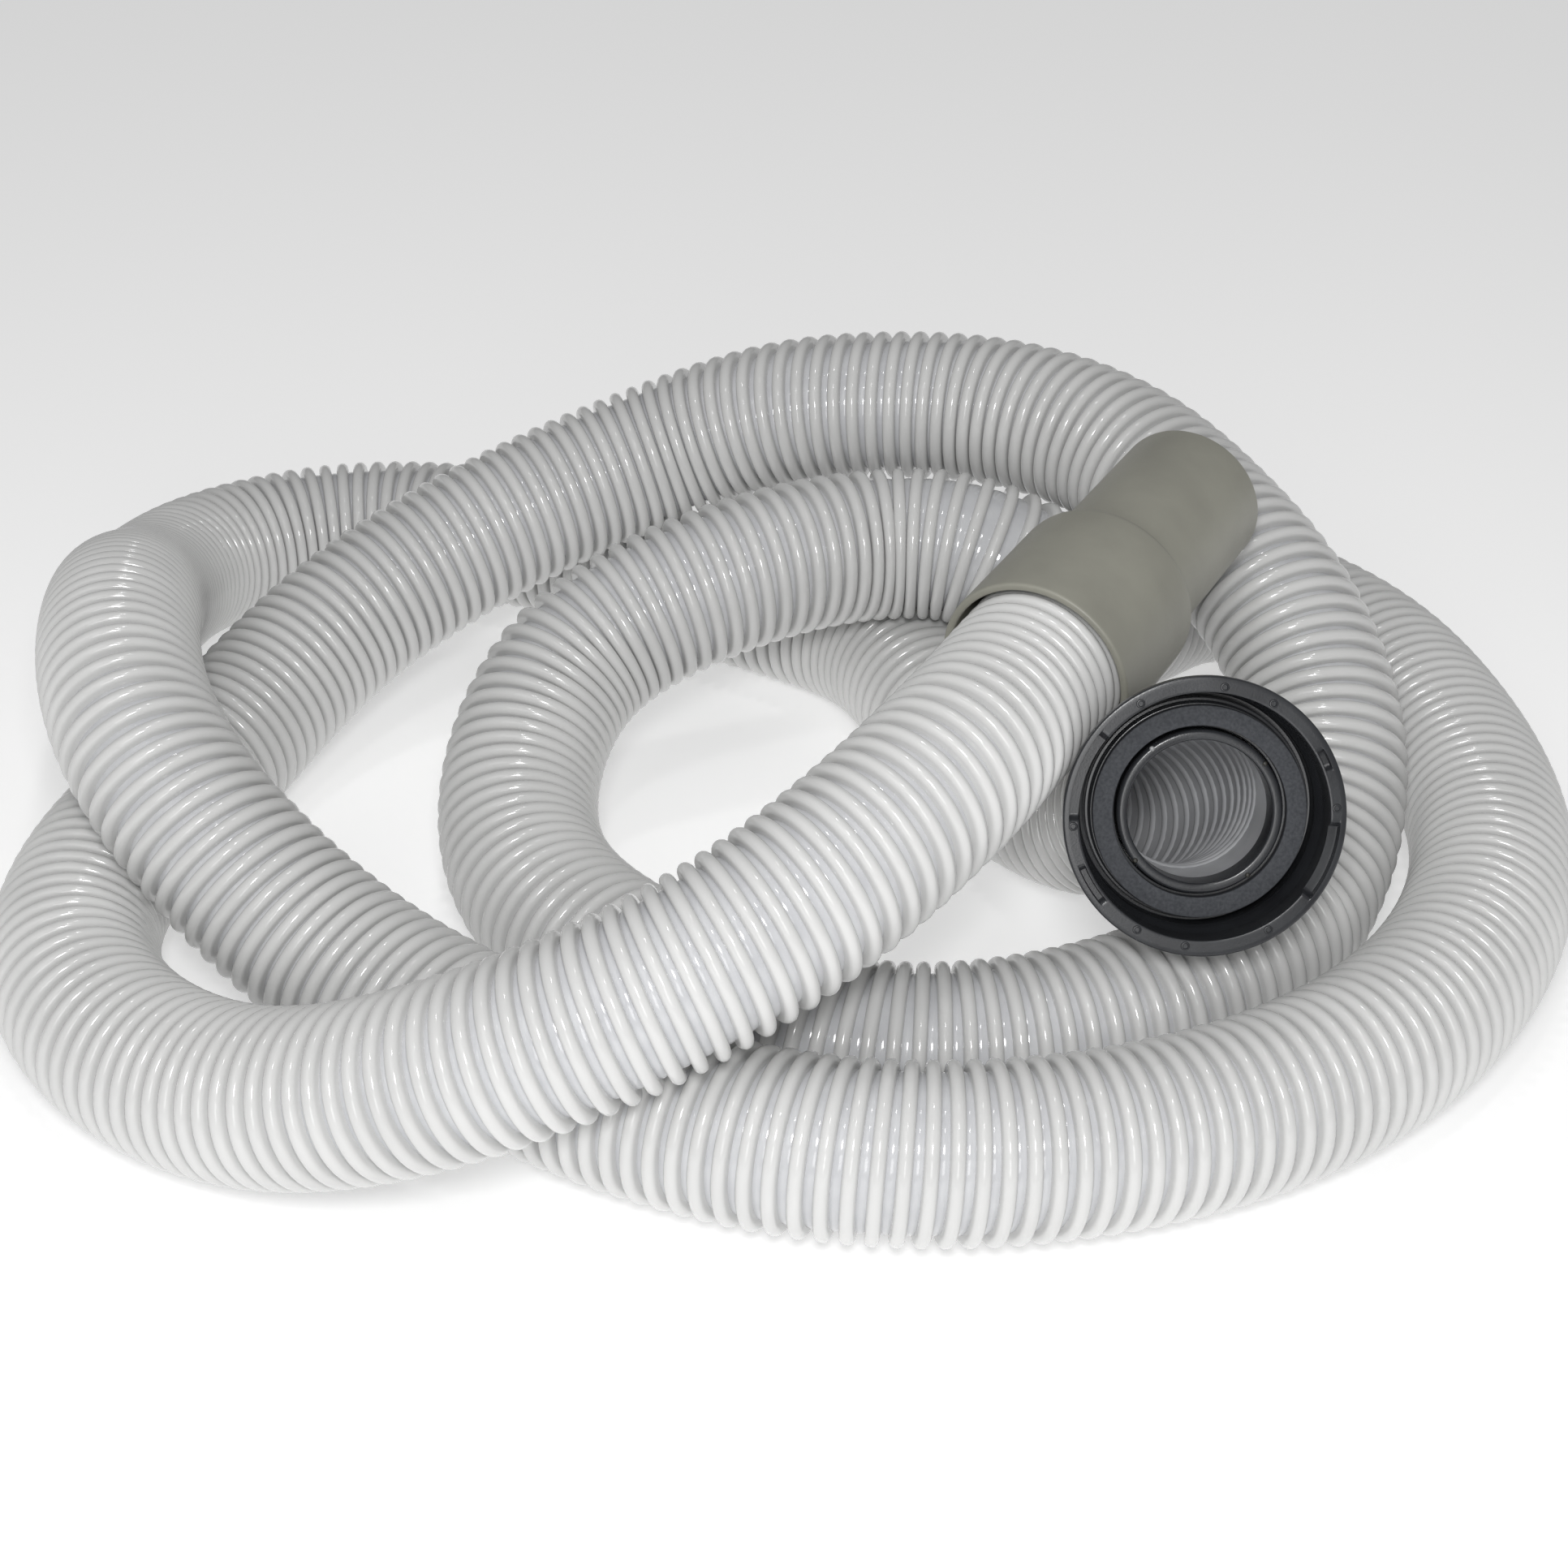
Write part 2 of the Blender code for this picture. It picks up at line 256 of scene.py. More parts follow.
def mesh_from(name, points, quads, caps=(), corner_uv=None):
    """A mesh of quads and cap polygons. A closed mesh that comes out with a negative volume, which is the sum
    of the tetrahedra from the origin to its faces, has every face turned over."""
    corners = [quads.reshape(-1)] + [np.asarray(cap) for cap in caps]
    sizes = np.concatenate([np.full(len(quads), 4), [len(cap) for cap in caps]]).astype(np.int32)
    volume = 0.0
    for faces in (quads, *[np.asarray(cap)[None] for cap in caps]):
        corner = points[faces]
        for k in range(1, faces.shape[1] - 1):
            volume += (corner[:, 0] * np.cross(corner[:, k], corner[:, k + 1])).sum()
    if volume < 0:
        corners = [quads[:, ::-1].reshape(-1)] + [np.asarray(cap)[::-1] for cap in caps]
        corner_uv = corner_uv[:, ::-1] if corner_uv is not None else None
    loops = np.concatenate(corners).astype(np.int32)
    mesh = bpy.data.meshes.new(name)
    mesh.vertices.add(len(points))
    mesh.vertices.foreach_set("co", points.astype(np.float32).ravel())
    mesh.loops.add(len(loops))
    mesh.loops.foreach_set("vertex_index", loops)
    mesh.polygons.add(len(sizes))
    starts = np.concatenate([[0], np.cumsum(sizes)[:-1]])
    mesh.polygons.foreach_set("loop_start", starts.astype(np.int32))
    mesh.update(calc_edges=True)
    if corner_uv is not None:
        layer = mesh.uv_layers.new(name="UVMap")
        flat = np.zeros((len(loops), 2), np.float32)
        flat[: corner_uv.shape[0] * 4] = corner_uv.reshape(-1, 2)
        layer.uv.foreach_set("vector", flat.ravel())
    if mesh.validate():
        raise RuntimeError(f"{name}: the mesh had faults")
    return mesh


def add_piece(name, mesh, material, body, sharp_deg=40.0):
    """Links the mesh as an object at the origin, on its body and with its material, smooth but for edges
    sharper than sharp_deg."""
    mesh.materials.append(material)
    mesh.shade_smooth()
    mesh.set_sharp_from_angle(angle=math.radians(sharp_deg))
    piece = bpy.data.objects.new(name, mesh)
    bpy.context.scene.collection.objects.link(piece)
    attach(piece, body)
    return piece


def rounded(outline, fillet, steps=4):
    """The closed outline with each corner replaced by a quadratic arc: (1-t)^2 A + 2t(1-t) corner + t^2 B,
    where A and B lie fillet, or a third of the side if that is less, before and after the corner."""
    corner = np.array(outline, float)
    reach = np.broadcast_to(np.asarray(fillet, float), (len(corner),))[:, None]
    ends = []
    for other in (np.roll(corner, 1, axis=0), np.roll(corner, -1, axis=0)):
        gap = other - corner
        size = np.linalg.norm(gap, axis=1, keepdims=True)
        ends.append(corner + gap / size * np.minimum(reach, size / 3))
    t = np.linspace(0, 1, steps + 1)[None, :, None]
    arcs = (1 - t) ** 2 * ends[0][:, None] + 2 * t * (1 - t) * corner[:, None] + t**2 * ends[1][:, None]
    return arcs.reshape(-1, 2)


def loop_length(outline):
    """The length run along a closed outline at each of its points, and at the first one again."""
    sides = np.diff(outline, axis=0, append=outline[:1])
    return np.concatenate([[0], np.cumsum(np.linalg.norm(sides, axis=1))])


def axis_frame(axis):
    """Two directions square to the axis: level, and upward."""
    level = unit(np.cross((0, 0, 1), axis))
    return level, np.cross(axis, level)


def turned(outline, face, axis, sides, shape=None):
    """Points of a surface of revolution: row k is the outline at the turn 2 pi k / sides. The outline is a
    loop of (radius, depth) in millimetres, and depth runs from the face against the axis. shape, if given,
    turns the (turns, radii, depths) arrays into new radii and depths before they are placed."""
    turn = np.linspace(0, 2 * math.pi, sides, endpoint=False)[:, None]
    radius = np.repeat(outline[None, :, 0], sides, axis=0)
    depth = np.repeat(outline[None, :, 1], sides, axis=0)
    if shape:
        radius, depth = shape(turn, radius, depth)
    level, upward = axis_frame(axis)
    return (
        face
        - axis * depth[..., None] * MM
        + radius[..., None] * MM * (np.cos(turn)[..., None] * level + np.sin(turn)[..., None] * upward)
    ).reshape(-1, 3)


def turned_mesh(name, outline, face, axis, sides=160, shape=None):
    """A ring whose UV map runs round the ring and along the outline, in metres."""
    quads, row, column = grid_quads(sides, len(outline), True, True)
    along = loop_length(outline)
    girth = 2 * math.pi * outline[:, 0].max()
    uv = np.stack([row / sides * girth, along[column]], axis=-1) * MM
    return mesh_from(name, turned(outline, face, axis, sides, shape), quads, corner_uv=uv)


# ---------------------------------------------------------------- materials


def linear(hex_colour):
    """An sRGB hex colour as linear RGBA."""
    value = np.array([int(hex_colour[i:i + 2], 16) for i in (1, 3, 5)]) / 255
    value = np.where(value <= 0.04045, value / 12.92, ((value + 0.055) / 1.055) ** 2.4)
    return (*map(float, value), 1.0)


def add_node(tree, kind, settings=None, links=None):
    """Adds a node, sets its attributes, input values and two ramp colours by name, and links its inputs from
    the given sockets."""
    node = tree.nodes.new(kind)
    for key, value in (settings or {}).items():
        if key in node.inputs:
            node.inputs[key].default_value = value
        elif key == "ramp":
            for element, (place, colour) in zip(node.color_ramp.elements, value):
                element.position, element.color = place, colour
        else:
            setattr(node, key, value)
    for key, socket in (links or {}).items():
        tree.links.new(socket, node.inputs[key])
    return node


def new_material(name, **inputs):
    """A material with its Principled shader's own sockets set."""
    material = bpy.data.materials.new(name)
    material.use_nodes = True
    shader = material.node_tree.nodes["Principled BSDF"]
    for key, value in inputs.items():
        shader.inputs[key.replace("_", " ")].default_value = value
    return material, material.node_tree, shader


def grain(tree, coordinate, size_mm, **settings):
    """A noise whose lumps are size_mm across."""
    return add_node(
        tree, "ShaderNodeTexNoise", {"Scale": 1 / (size_mm * MM), **settings}, {"Vector": coordinate}
    )


def tinted(tree, shader, factor, dark, light):
    """A base colour that runs from dark to light as the factor runs over the middle of a noise's range."""
    ramp = {"ramp": [(0.3, linear(dark)), (0.7, linear(light))]}
    tone = add_node(tree, "ShaderNodeValToRGB", ramp, {"Fac": factor})
    tree.links.new(tone.outputs["Color"], shader.inputs["Base Color"])


def varied_roughness(tree, shader, factor, low, high):
    """Roughness between two values as the factor runs from 0 to 1."""
    spread = add_node(tree, "ShaderNodeMapRange", {"To Min": low, "To Max": high}, {"Value": factor})
    tree.links.new(spread.outputs["Result"], shader.inputs["Roughness"])


def bumped(tree, shader, height, distance_mm):
    """A bump of that depth on the shader."""
    settings = {"Distance": distance_mm * MM, "Strength": 1.0}
    bump = add_node(tree, "ShaderNodeBump", settings, {"Height": height})
    tree.links.new(bump.outputs["Normal"], shader.inputs["Normal"])


def flexible_pvc_wall():
    """Plasticised white PVC, extruded as a strip and wound. The eye sees a wet gloss on a cool white that is
    greyer than the ribs."""
    material, tree, shader = new_material("plasticised_pvc_extruded_strip", IOR=1.53, Specular_IOR_Level=0.6)
    place = add_node(tree, "ShaderNodeTexCoord").outputs["Object"]
    wave = grain(tree, place, 9.0, Detail=2.0)
    fine = grain(tree, place, 0.9, Detail=3.0)
    tinted(tree, shader, wave.outputs["Fac"], "#C6C7CA", "#D1D2D4")
    varied_roughness(tree, shader, fine.outputs["Fac"], 0.08, 0.14)
    bumped(tree, shader, fine.outputs["Fac"], 0.004)
    return material


def rigid_pvc_rib():
    """Rigid white PVC, extruded as a round-backed rib. The eye sees a clean gloss white with faint die lines
    that run along the rib."""
    material, tree, shader = new_material("rigid_pvc_extruded_rib", IOR=1.53, Specular_IOR_Level=0.5)
    coordinates = add_node(tree, "ShaderNodeTexCoord")
    place = coordinates.outputs["Object"]
    stretched = add_node(
        tree, "ShaderNodeMapping", {"Scale": (0.02, 1, 1)}, {"Vector": coordinates.outputs["UV"]}
    )
    lines = grain(tree, stretched.outputs["Vector"], 0.45, Detail=2.0)
    wave = grain(tree, place, 30.0, Detail=2.0)
    tinted(tree, shader, wave.outputs["Fac"], "#D2D2D1", "#DADAD9")
    varied_roughness(tree, shader, lines.outputs["Fac"], 0.1, 0.16)
    bumped(tree, shader, lines.outputs["Fac"], 0.003)
    return material


def moulded_black_abs():
    """Black ABS, injection moulded in a polished tool and handled since. The eye sees deep charcoal with
    clear reflections, broken by faint scuffs."""
    material, tree, shader = new_material("moulded_black_abs", IOR=1.54)
    place = add_node(tree, "ShaderNodeTexCoord").outputs["Object"]
    cloud = grain(tree, place, 14.0, Detail=4.0)
    grit = grain(tree, place, 0.5, Detail=3.0)
    tinted(tree, shader, cloud.outputs["Fac"], "#26272A", "#303235")
    varied_roughness(tree, shader, cloud.outputs["Fac"], 0.16, 0.34)
    bumped(tree, shader, grit.outputs["Fac"], 0.02)
    return material


def moulded_grey_cuff():
    """Grey-olive polyethylene, moulded with a fine spark-eroded texture. The eye sees a soft satin with wide,
    dim reflections."""
    material, tree, shader = new_material("moulded_grey_polyethylene", IOR=1.51)
    place = add_node(tree, "ShaderNodeTexCoord").outputs["Object"]
    cloud = grain(tree, place, 22.0, Detail=4.0)
    grit = grain(tree, place, 0.6, Detail=3.0)
    tinted(tree, shader, cloud.outputs["Fac"], "#8E8D83", "#9A998E")
    varied_roughness(tree, shader, grit.outputs["Fac"], 0.34, 0.5)
    bumped(tree, shader, grit.outputs["Fac"], 0.02)
    return material


def moulded_rubber_washer():
    """Black EPDM rubber, compression moulded and dusted with release powder. The eye sees a flat charcoal
    with a speckled grain."""
    material, tree, shader = new_material("moulded_epdm_rubber", IOR=1.5, Specular_IOR_Level=0.3)
    place = add_node(tree, "ShaderNodeTexCoord").outputs["Object"]
    grit = grain(tree, place, 0.8, Detail=4.0)
    cloud = grain(tree, place, 6.0, Detail=3.0)
    tinted(tree, shader, grit.outputs["Fac"], "#37393D", "#484A4E")
    varied_roughness(tree, shader, cloud.outputs["Fac"], 0.6, 0.85)
    bumped(tree, shader, grit.outputs["Fac"], 0.06)
    return material


def nylon_painted_highlight():
    """Nylon of a lip pin, moulded, coloured pale as a painted highlight, as if the flash glints on this one
    pin. The eye sees a small milky bead with a soft gloss.
    """
    material, tree, shader = new_material("nylon_painted_highlight", IOR=1.53)
    place = add_node(tree, "ShaderNodeTexCoord").outputs["Object"]
    grit = grain(tree, place, 0.5, Detail=2.0)
    tinted(tree, shader, grit.outputs["Fac"], "#8C8D8E", "#A9AAAB")
    varied_roughness(tree, shader, grit.outputs["Fac"], 0.25, 0.4)
    return material


def moulded_dark_nylon():
    """Dark glass-filled nylon of the inner fittings, moulded. The eye sees a dull black-brown, hardly lit."""
    material, tree, shader = new_material("moulded_dark_nylon", IOR=1.53)
    place = add_node(tree, "ShaderNodeTexCoord").outputs["Object"]
    grit = grain(tree, place, 0.7, Detail=3.0)
    tinted(tree, shader, grit.outputs["Fac"], "#24231F", "#33322D")
    varied_roughness(tree, shader, grit.outputs["Fac"], 0.4, 0.6)
    bumped(tree, shader, grit.outputs["Fac"], 0.03)
    return material


FINISHES = {}


def finish_of(maker):
    """The maker's material, made once."""
    if maker.__name__ not in FINISHES:
        FINISHES[maker.__name__] = maker()
    return FINISHES[maker.__name__]


# ---------------------------------------------------------------- the hose


def wall_mesh(path, sizes):
    """The hose's thin wall and the points of its middle: point (i, j) lies at arc length s_i, radius r_i and
    turn 2 pi j / sides. The rows run out along the outside and back along the inside, so the grid closes both
    ways."""
    sides = 40
    rows = math.ceil(path.length / (sizes.rib_spacing / 2)) + 1
    s = np.linspace(0, path.length, rows)
    s = np.concatenate([s, s[::-1]])
    radius = np.repeat([sizes.wall_radius, sizes.bore_radius], rows)
    centre, _, side, up = path.frames(s)
    turn = np.linspace(0, 2 * math.pi, sides, endpoint=False)[None, :, None]
    outward = np.cos(turn) * side[:, None] + np.sin(turn) * up[:, None]
    points = centre[:, None] + radius[:, None, None] * outward
    quads, row, column = grid_quads(2 * rows, sides, True, True)
    along = np.concatenate([s, [s[-1]]])
    uv = np.stack([along[row], column / sides * 2 * math.pi * sizes.wall_radius], axis=-1)
    return mesh_from("hose_wall", points.reshape(-1, 3), quads, corner_uv=uv), centre[:rows]


def wound_mesh(name, path, start, end, spacing, profile, width_at, lag=0.0, steps=48):
    """A profile wound on the hose: station k lies at arc length s_k = start + k spacing / steps and turn
    2 pi (s_k / spacing - lag), and the profile, a closed loop of (along the hose, from its middle), is drawn
    there in the plane of the hose's heading and the outward direction. A bend brings the turns closer, or
    further apart, by room = 1 - radius x bend, and width_at says how wide the profile is for that room. Its
    two ends are flat."""
    s = np.arange(start, end, spacing / steps)
    turn = 2 * math.pi * (s / spacing - lag)
    centre, ahead, side, up = path.frames(s)
    outward = np.cos(turn)[:, None] * side + np.sin(turn)[:, None] * up
    top = profile[:, 1].max()
    room = np.maximum(1 - top * (path.bend(s) * outward).sum(1), LEAST_ROOM)
    points = (
        centre[:, None]
        + (width_at(room)[:, None] * profile[None, :, 0])[..., None] * ahead[:, None]
        + profile[None, :, 1, None] * outward[:, None]
    )
    count = len(profile)
    quads, row, column = grid_quads(len(s), count, False, True)
    run = np.arange(len(s)) * np.hypot(spacing / steps, 2 * math.pi * top / steps)
    uv = np.stack([run[row], loop_length(profile)[column]], axis=-1)
    caps = [np.arange(count), (len(s) - 1) * count + np.arange(count)[::-1]]
    return mesh_from(name, points.reshape(-1, 3), quads, caps_outward(points, quads, caps), uv)


def caps_outward(points, quads, caps):
    """The caps in the order that fits the side quads: a shared edge runs one way in the quad and the other
    way in the cap."""
    first = quads[0]
    edges = {(int(a), int(b)) for a, b in zip(first, np.roll(first, -1))}
    cap = caps[0]
    forward = any((int(a), int(b)) in edges for a, b in zip(cap, np.roll(cap, -1)))
    return [cap[::-1] for cap in caps] if forward else caps


def rib_profile(sizes):
    """A half round on straight flanks: from the foot inside the wall up to the crest and down again."""
    half = sizes.rib_width / 2
    turn = np.linspace(math.pi, 0, 9)
    back = np.stack([half * np.cos(turn), sizes.crest_radius - half + half * np.sin(turn)], axis=1)
    foot = sizes.bore_radius + 0.1 * MM
    return np.concatenate([[(-half, foot)], back, [(half, foot)]])


def web_profile(sizes):
    """The strip between two ribs, a little wider than the gap: its back rises as 1 - x^2 to the web's
    radius."""
    half = (sizes.rib_spacing - sizes.rib_width) / 2 + 0.2 * MM
    x = np.linspace(-1, 1, 5)
    rise = sizes.web_radius - sizes.wall_radius
    back = np.stack([half * x, sizes.wall_radius + rise * (1 - x * x)], axis=1)
    foot = sizes.wall_radius - 0.1 * MM
    return np.concatenate([[(-half, foot)], back, [(half, foot)]])


class POOLHOSE_OT_hose(bpy.types.Operator):
    """Builds the hose's wall, the rib wound on it and the ripples inside its ends"""

    bl_idname = "poolhose.hose"
    bl_label = "Hose"

    def execute(self, context):
        sizes = context.scene.poolhose_sizes
        path = Path(sizes.crest_radius)
        wall, centres = wall_mesh(path, sizes)
        wall_piece = add_piece("hose_wall", wall, finish_of(flexible_pvc_wall), "hose")
        spacing, width = sizes.rib_spacing, sizes.rib_width
        gap = spacing - width

        def rib_width_at(room):
            """On the inside of a tight bend the ribs are narrowed, so that they keep apart."""
            return np.minimum(1, room * spacing * RIB_SHARE / width)

        def web_width_at(room):
            """The strip fills what the spread turns leave between two ribs."""
            return np.maximum(room * spacing - width, LEAST_GAP_SHARE * gap) / gap

        def unbent(room):
            """A profile as wide as it is drawn."""
            return np.ones_like(room)

        margin = 1.5 * MM  # of bare wall at each end
        turns = math.floor((path.length - 2 * margin) / spacing)
        marks = np.round(np.linspace(0, turns, 4)) * spacing + margin
        for k, (start, end) in enumerate(zip(marks, marks[1:])):
            for part, finish, profile, width_at, lag in (
                ("rib", rigid_pvc_rib, rib_profile(sizes), rib_width_at, 0.0),
                ("web", flexible_pvc_wall, web_profile(sizes), web_width_at, 0.5),
            ):
                name = f"hose_{part}_{k + 1}"
                mesh = wound_mesh(name, path, start, end + 1e-9, spacing, profile, width_at, lag)
                add_piece(name, mesh, finish_of(finish), "hose")
        ripple = np.array([(-1.9, 0.3), (-1.0, -0.35), (0, -0.6), (1.0, -0.35), (1.9, 0.3)]) * MM
        ripple[:, 1] += sizes.bore_radius
        for name, start, end in (
            ("hose_ripple_cuff_end", 20 * MM, 90 * MM),
            ("hose_ripple_coupling_end", path.length - 230 * MM, path.length - 18 * MM),
        ):
            mesh = wound_mesh(name, path, start, end, spacing, ripple, unbent)
            add_piece(name, mesh, finish_of(flexible_pvc_wall), "hose")
        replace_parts(wall_piece, *[name for name in frame["nodes"] if name.startswith("hose_")])
        return {"FINISHED"}


# ---------------------------------------------------------------- the coupling


def smooth_step(x, low, high):
    """0 below low, 1 above high and 3t^2 - 2t^3 between."""
    t = np.clip((x - low) / (high - low), 0, 1)
    return t * t * (3 - 2 * t)


def within_arc(turn, start_deg, end_deg, soft_deg):
    """1 between the two angles and 0 outside, falling off over soft_deg at each end."""
    middle, half = (start_deg + end_deg) / 2, (end_deg - start_deg) / 2
    away = np.abs((np.degrees(turn) - middle + 180) % 360 - 180)
    return 1 - smooth_step(away, half - soft_deg, half)


def small_rings(name, places, outline, face, axis, sides=20):
    """Small turned shapes on a face: copy c of the closed outline of (radius, height above the face) is
    turned about the face's own direction at places[c], each a turn in degrees, a radius and a depth."""
    turn, radius, depth = np.array(places, float).T
    level, upward = axis_frame(axis)
    around = np.radians(turn)[:, None]
    spoke = np.cos(around) * level + np.sin(around) * upward
    centre = face - axis * depth[:, None] * MM + radius[:, None] * MM * spoke
    outline = np.asarray(outline, float)
    phase = np.linspace(0, 2 * math.pi, sides, endpoint=False)[:, None, None]
    spoke = np.cos(phase) * level + np.sin(phase) * upward
    shape = spoke * outline[None, :, :1] * MM + axis * outline[None, :, 1:] * MM
    points = centre[:, None, None] + shape[None]
    quads, _, _ = grid_quads(sides, len(outline), True, True)
    copies = np.arange(len(centre))[:, None, None] * sides * len(outline)
    return mesh_from(name, points.reshape(-1, 3), (quads[None] + copies).reshape(-1, 4))


class POOLHOSE_OT_coupling(bpy.types.Operator):
    """Builds the coupling's rim with its bayonet pockets and mould marks, its body, washer, lip and collar"""

    bl_idname = "poolhose.coupling"
    bl_label = "Coupling"

    def execute(self, context):
        sizes = context.scene.poolhose_fittings
        face, axis = (np.array(JOINTS["coupling_spin"][key], float) for key in ("pos_m", "axis"))
        rim, bore = sizes.rim_radius / MM, sizes.skirt_bore / MM
        black, rubber = finish_of(moulded_black_abs), finish_of(moulded_rubber_washer)
        below = POCKET_DEPTH_MM + 0.3  # the recesses leave the skirt alone from here down
        outline = rounded(
            [
                (bore, 0), *[(radius, 0) for radius in (*RECESS_INNER_MM, *RECESS_OUTER_MM)],
                (rim, 0), (rim, 3), (rim - 1.4, 8), (rim - 2.8, 13), (31, 20), (28, 24), (26.85, 24),
                (26.85, 20.4), (30.2, 20.4), (30.2, 15), (bore, 11), (bore, below), (bore, POCKET_DEPTH_MM),
            ],
            (0.5, 0.05, 0.05, 0.05, 0.05, 1.0, 1, 1, 1, 1, 0.8, 0.3, 0.3, 0.3, 1, 1, 0.05, 0.05),
        )

        def recessed(turn, radius, depth):
            """Two pockets open to the bore and two short slots, sunk into the rim's face with soft ends."""
            ends = 1 - smooth_step(radius, *RECESS_OUTER_MM)
            pocket = sum(within_arc(turn, *arc, POCKET_SOFT_DEG) for arc in POCKET_ARCS) * ends
            slot = sum(within_arc(turn, *arc, SLOT_SOFT_DEG) for arc in SLOT_ARCS) * ends
            slot = slot * smooth_step(radius, *RECESS_INNER_MM) * (depth < SLOT_DEPTH_MM)
            inside = (radius < rim - 1) * (depth < below)
            sunk = pocket * np.maximum(POCKET_DEPTH_MM - depth, 0)
            sunk += slot * np.maximum(SLOT_DEPTH_MM - depth, 0)
            return radius, depth + inside * sunk

        shell = turned_mesh("coupling_rim", outline, face, axis, 480, recessed)
        shell = add_piece(shell.name, shell, black, "coupling_shell")
        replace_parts(shell, "coupling_shell")
        mark_radius, pin_radius, pin_depth = 33.4, 20.6, 9.0
        marks = [
            (half_turn + angle, mark_radius, 0) for half_turn in (0, 180) for angle in (4, 60, 82.5, 120)
        ]
        crater = [(0.55, -0.2), (0.62, 0.1), (0.8, 0.28), (1.0, 0.26), (1.14, 0.06), (1.2, -0.2)]
        mesh = small_rings("coupling_mould_marks", marks, crater, face, axis)
        add_piece(mesh.name, mesh, black, "coupling_shell")
        button = [(0.02, -0.4), (0.02, 0.4), (0.3, 0.37), (0.52, 0.24), (0.65, 0.02), (0.66, -0.4)]
        # Of the four lip pins, the one at 127.5 degrees is coloured pale: a painted highlight where the flash
        # glints on it. The other three keep the dark nylon.
        for name, finish, turns in (
            ("coupling_lip_pins", moulded_dark_nylon, (37.5, 217.5, 307.5)),
            ("coupling_lip_pin_painted_highlight", nylon_painted_highlight, (127.5,)),
        ):
            places = [(turn, pin_radius, pin_depth) for turn in turns]
            mesh = small_rings(name, places, button, face, axis)
            add_piece(name, mesh, finish_of(finish), "hose")
        parts = (
            (
                "coupling_body", "coupling_insert", black,
                [
                    (21.6, 12.6), (27.9, 12.6), (27.9, 16.6), (28.9, 16.6), (28.9, 20), (26.5, 20),
                    (26.5, 25.6), (24.0, 25.6), (24.0, 21.1), (21.6, 21.1),
                ], 0.3,
            ),
            (
                "coupling_gasket", "coupling_washer", rubber,
                [(22.3, 9.4), (27.5, 9.4), (27.5, 12.3), (22.3, 12.3)], 0.35,
            ),
            (
                "coupling_lip", "coupling_lip_ring", black,
                [(18.6, 9.0), (20.6, 9.0), (21.2, 9.6), (21.2, 21.1), (19.3, 21.1), (18.6, 19)],
                (0.8, 0.5, 0.4, 0.2, 0.2, 0.3),
            ),
            (
                "coupling_clip", "coupling_snap_ring", black,
                [(26.8, 24.3), (27.8, 24.3), (27.8, 25.6), (26.8, 25.6)], 0.2,
            ),
            (
                "coupling_sleeve", "coupling_collar", black,
                [
                    (24.0, 25.9), (26.2, 25.9), (26.2, 28), (25.4, 29.4), (25.2, 32.4), (24.8, 33),
                    (24.0, 33),
                ], 0.3,
            ),
        )
        for name, node, finish, shape, fillet in parts:
            mesh = turned_mesh(name, rounded(shape, fillet), face, axis)
            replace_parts(add_piece(name, mesh, finish, "hose"), node)
        return {"FINISHED"}


# ---------------------------------------------------------------- the cuff


class POOLHOSE_OT_cuff(bpy.types.Operator):
    """Builds the cuff's sleeve, the ferrule that it turns on and the ring that holds it"""

    bl_idname = "poolhose.cuff"
    bl_label = "Cuff"

    def execute(self, context):
        tip, axis = (np.array(JOINTS["cuff_spin"][key], float) for key in ("pos_m", "axis"))
        length = float(np.linalg.norm(ROUTE_CUFF_TIP - ROUTE_CUFF_MOUTH)) / MM
        step, end = length - CUFF_WIDE_LENGTH_MM, length - HOSE_IN_CUFF_MM
        grey, dark = finish_of(moulded_grey_cuff), finish_of(moulded_dark_nylon)
        parts = (
            (
                "cuff_body", "cuff_sleeve", grey, "cuff", "cuff_plastic",
                [
                    (21.7, 0), (22.1, step - 3), (22.5, step - 1.6), (26.1, step + 1.2), (26.5, step + 2.6),
                    (26.9, length), (24.7, length), (24.3, step + 2), (20.0, step - 1.8), (19.5, 0),
                ],
                (0.8, 1.5, 1.2, 1.2, 1.5, 1.1, 1.0, 1, 1, 0.8),
            ),
            (
                "cuff_inner", "cuff_ferrule", dark, "hose", "cuff_inner_plastic",
                [
                    (17.2, step + 3), (23.4, step + 3), (23.4, step + 5), (18.9, step + 5), (18.9, end + 16),
                    (17.2, end + 16),
                ], 0.3,
            ),
            (
                "cuff_ring", "cuff_retaining_ring", dark, "cuff", "cuff_inner_plastic",
                [(20.4, step + 5.8), (24.0, step + 5.8), (24.0, end - 0.6), (20.4, end - 0.6)], 0.3,
            ),
        )
        for name, node, finish, body, slot, shape, fillet in parts:
            mesh = turned_mesh(name, rounded(shape, fillet), tip, axis)
            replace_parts(add_piece(name, mesh, finish, body), node)
        return {"FINISHED"}


# ---------------------------------------------------------------- the stage


def soft_light(name, place, target, size, power):
    """A square white area light that faces the target."""
    lamp = bpy.data.lights.new(name, "AREA")
    lamp.size, lamp.energy = size, power
    light = bpy.data.objects.new(name, lamp)
    light.location = place
    light.rotation_mode = "QUATERNION"
    light.rotation_quaternion = (Vector(target) - Vector(place)).to_track_quat("-Z", "Y")
    bpy.context.scene.collection.objects.link(light)


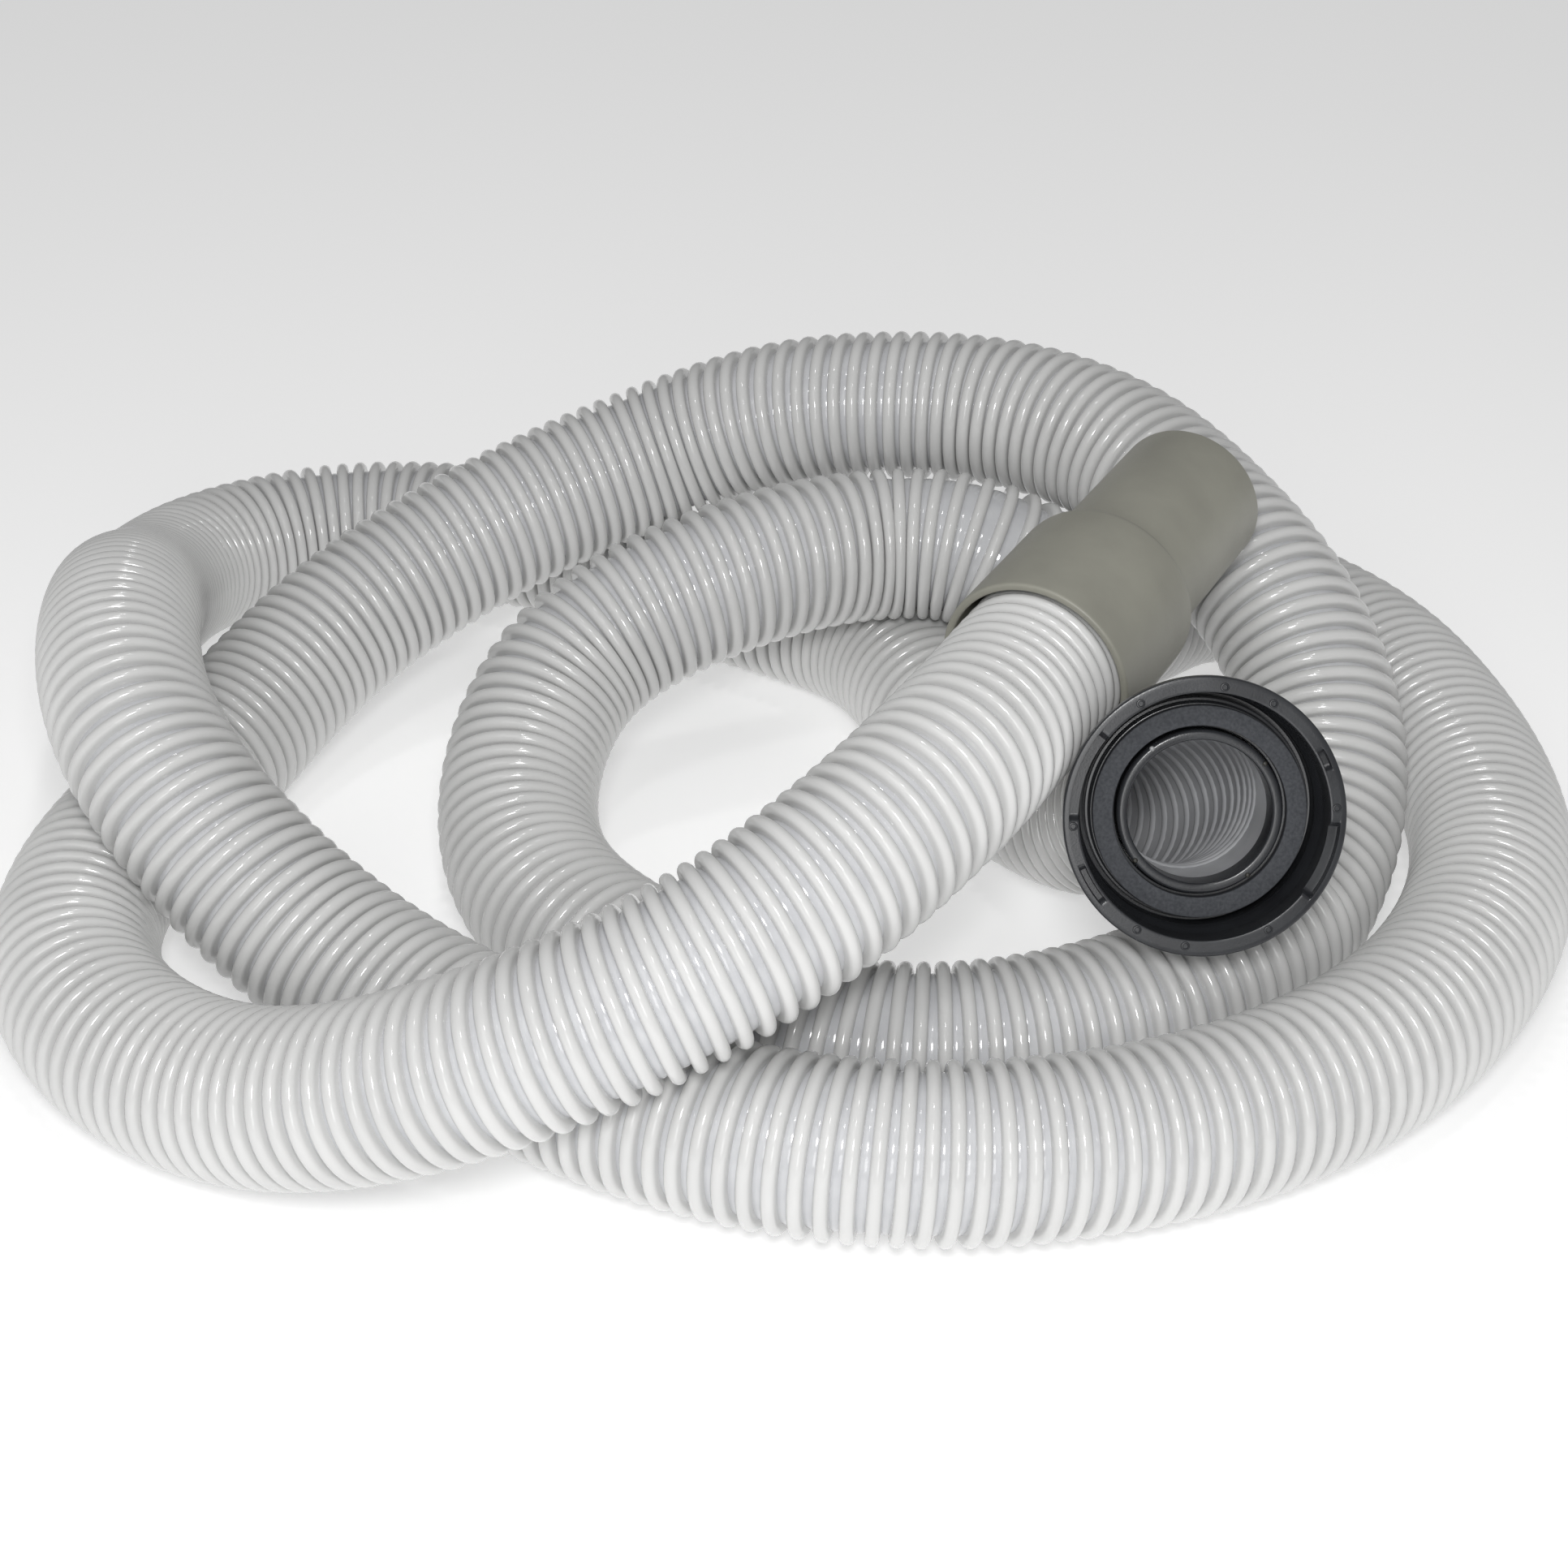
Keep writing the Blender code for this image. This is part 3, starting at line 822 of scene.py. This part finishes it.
class POOLHOSE_OT_stage(bpy.types.Operator):
    """Adds the camera, the floor and the studio's lights"""

    bl_idname = "poolhose.stage"
    bl_label = "Stage"

    def execute(self, context):
        look = context.scene.poolhose_stage
        shift = Vector(JOINTS["coupling_spin"]["pos_m"]) - Vector(ROUTE_COUPLING_FACE)
        pitch, away, sensor_mm, lens_mm = math.radians(32), 0.929, 36, 67.25
        camera = bpy.data.objects.new("camera", bpy.data.cameras.new("camera"))
        camera.data.sensor_width, camera.data.lens = sensor_mm, lens_mm
        camera.location = shift + Vector((0, -away * math.cos(pitch), away * math.sin(pitch)))
        camera.rotation_mode = "QUATERNION"
        camera.rotation_quaternion = (shift - camera.location).to_track_quat("-Z", "Y")
        camera.data.clip_start, camera.data.clip_end = 0.01, 50
        context.scene.collection.objects.link(camera)
        context.scene.camera = camera

        floor_mesh = bpy.data.meshes.new("floor")
        reach = 6.0
        corners = [(-reach, -reach, 0), (reach, -reach, 0), (reach, reach, 0), (-reach, reach, 0)]
        floor_mesh.from_pydata(corners, [], [(0, 1, 2, 3)])
        paper, _, shader = new_material("matt_paper_floor", Roughness=0.9, Specular_IOR_Level=0.1)
        shader.inputs["Base Color"].default_value = (*look.floor_colour, 1)
        shader.inputs["Emission Color"].default_value = (1, 1, 1, 1)
        shader.inputs["Emission Strength"].default_value = look.floor_glow
        floor_mesh.materials.append(paper)
        floor = bpy.data.objects.new("floor", floor_mesh)
        context.scene.collection.objects.link(floor)

        world = bpy.data.worlds.new("studio")
        world.use_nodes = True
        background = world.node_tree.nodes["Background"]
        background.inputs["Color"].default_value = (1, 1, 1, 1)
        background.inputs["Strength"].default_value = 0.25
        context.scene.world = world
        overhead = look.flash_power * 0.25
        soft_light("key_softbox", (-0.55, -0.95, 1.15), (0, 0, 0), 0.8, look.key_power)
        soft_light("low_softbox", (0, -1.5, 0.52), (0.1, 0, 0.09), 0.5, look.key_power * 1.4)
        soft_light("flash", camera.location + Vector((0, 0, 0.1)), (0, 0, 0), 0.12, look.flash_power)
        soft_light("high_lamp", (0, -0.5, 1.0), (0, 0, 0), 0.08, overhead)
        soft_light("top_lamp", (0, 0, 1.2), (0, 0, 0), 0.08, overhead)
        context.scene.view_settings.view_transform = "Standard"
        return {"FINISHED"}


class POOLHOSE_PT_panel(bpy.types.Panel):
    """Lists the steps that build the hose"""

    bl_idname = "POOLHOSE_PT_panel"
    bl_label = "Pool Hose"
    bl_space_type = "VIEW_3D"
    bl_region_type = "UI"
    bl_category = "Pool Hose"

    def draw(self, context):
        scene = context.scene
        for group in (scene.poolhose_sizes, scene.poolhose_fittings, scene.poolhose_stage):
            box = self.layout.box()
            for key in group.bl_rna.properties.keys():
                if key not in ("rna_type", "name"):
                    box.prop(group, key)
        for operator in OPERATORS:
            self.layout.operator(operator.bl_idname)


GROUPS = (HoseSizes, FittingSizes, StageLook)
OPERATORS = (POOLHOSE_OT_stage, POOLHOSE_OT_hose, POOLHOSE_OT_coupling, POOLHOSE_OT_cuff)


def register():
    for kind in (*GROUPS, *OPERATORS, POOLHOSE_PT_panel):
        bpy.utils.register_class(kind)
    bpy.types.Scene.poolhose_sizes = PointerProperty(type=HoseSizes)
    bpy.types.Scene.poolhose_fittings = PointerProperty(type=FittingSizes)
    bpy.types.Scene.poolhose_stage = PointerProperty(type=StageLook)


def unregister():
    del bpy.types.Scene.poolhose_sizes, bpy.types.Scene.poolhose_fittings, bpy.types.Scene.poolhose_stage
    for kind in reversed((*GROUPS, *OPERATORS, POOLHOSE_PT_panel)):
        bpy.utils.unregister_class(kind)


def main():
    """Builds everything in order."""
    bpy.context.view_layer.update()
    register()
    bpy.ops.poolhose.stage()
    bpy.ops.poolhose.hose()
    bpy.ops.poolhose.coupling()
    bpy.ops.poolhose.cuff()


if __name__ == "__main__":
    main()
